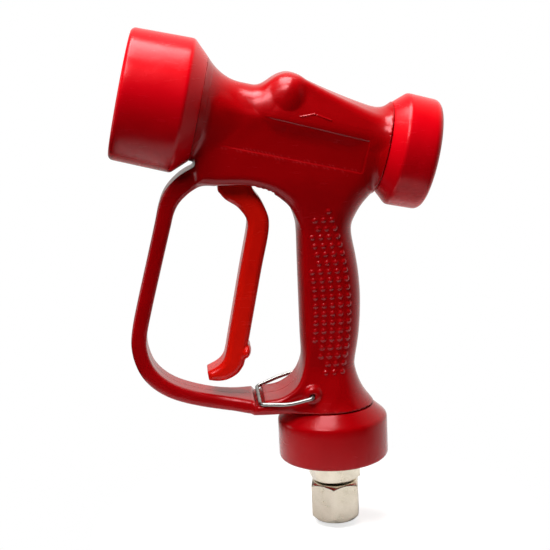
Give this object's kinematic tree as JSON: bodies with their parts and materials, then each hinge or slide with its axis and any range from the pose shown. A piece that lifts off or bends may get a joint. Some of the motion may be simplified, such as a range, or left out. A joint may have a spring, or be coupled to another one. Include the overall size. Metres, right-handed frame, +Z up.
{
  "type": "pistol-grip hose nozzle",
  "caption": "Red pistol-grip hose nozzle with a guarded trigger, wire hold-open latch, rubber bumpers and a swivelling hose nut.",
  "frame": {"origin": "centre of the inlet strainer's face inside the swivel nut, where the hose's own fitting stops", "axes": "+Z up the handle away from the hose, -X the way the nozzle points (it also rises 14.2 degrees), +Y completes the frame; the part is symmetric about Y = 0 except for the latch wire"},
  "size_m": [0.1664, 0.0674, 0.2589],
  "materials": {
    "cover_rubber": "semi-gloss moulded red rubber with a fine satin grain",
    "trigger_coating": "smooth glossy red plastic coating",
    "brass": "turned and cast brass, satin",
    "nickel_plate": "nickel-plated brass, warm bright satin",
    "stainless": "bright stainless steel",
    "black_rubber": "matt black nitrile rubber",
    "white_plastic": "white low-friction plastic"
  },
  "bodies": {
    "handle": {"body_cover": "cover_rubber", "front_bumper": "cover_rubber", "rear_bumper": "cover_rubber", "swivel_bumper": "cover_rubber", "valve_body": "brass", "nozzle_tip": "brass", "rear_plug": "brass", "swivel_adaptor": "nickel_plate", "swivel_nipple": "nickel_plate", "seat_ring": "stainless", "return_spring": "stainless", "nozzle_o_ring": "black_rubber", "plug_o_ring": "black_rubber", "shaft_o_ring_left": "black_rubber", "shaft_o_ring_right": "black_rubber", "nipple_o_ring": "black_rubber", "stem_bush": "white_plastic", "shaft_gland_left": "white_plastic", "shaft_gland_right": "white_plastic", "adaptor_washer": "white_plastic"},
    "trigger": {"trigger_lever": "trigger_coating", "pivot_shaft": "stainless", "crank_fork": "stainless", "crank_pin": "stainless", "shaft_clip_left": "stainless", "shaft_clip_right": "stainless"},
    "stem": {"valve_stem": "stainless", "stem_seal": "black_rubber"},
    "latch": {"latch_wire": "stainless"},
    "hose_nut": {"swivel_nut": "nickel_plate", "inlet_washer": "black_rubber", "inlet_strainer": "stainless"}
  },
  "joints": [
    {"name": "trigger_pivot", "type": "hinge", "parent": "handle", "child": "trigger", "pos_m": [-0.01612, 0, 0.2107], "axis": [0, -1, 0], "range_deg": [0, 11]},
    {"name": "stem_slide", "type": "slide", "parent": "handle", "child": "stem", "axis": [0.9694, 0, -0.2453], "range_m": [0, 0.0033], "stiffness_N_per_m": 3000, "springref_m": -0.008, "deforming": ["return_spring"]},
    {"name": "latch_swing", "type": "hinge", "parent": "handle", "child": "latch", "pos_m": [-0.0115, 0, 0.06115], "axis": [0, 0.9934, 0.115], "range_deg": [0, 46]},
    {"name": "hose_swivel", "type": "hinge", "parent": "handle", "child": "hose_nut", "pos_m": [0, 0, 0], "axis": [0, 0, 1], "continuous": true}
  ],
  "couplings": [
    {"joint": "stem_slide", "follows": "trigger_pivot", "m_per_rad": 0.0165}
  ]
}
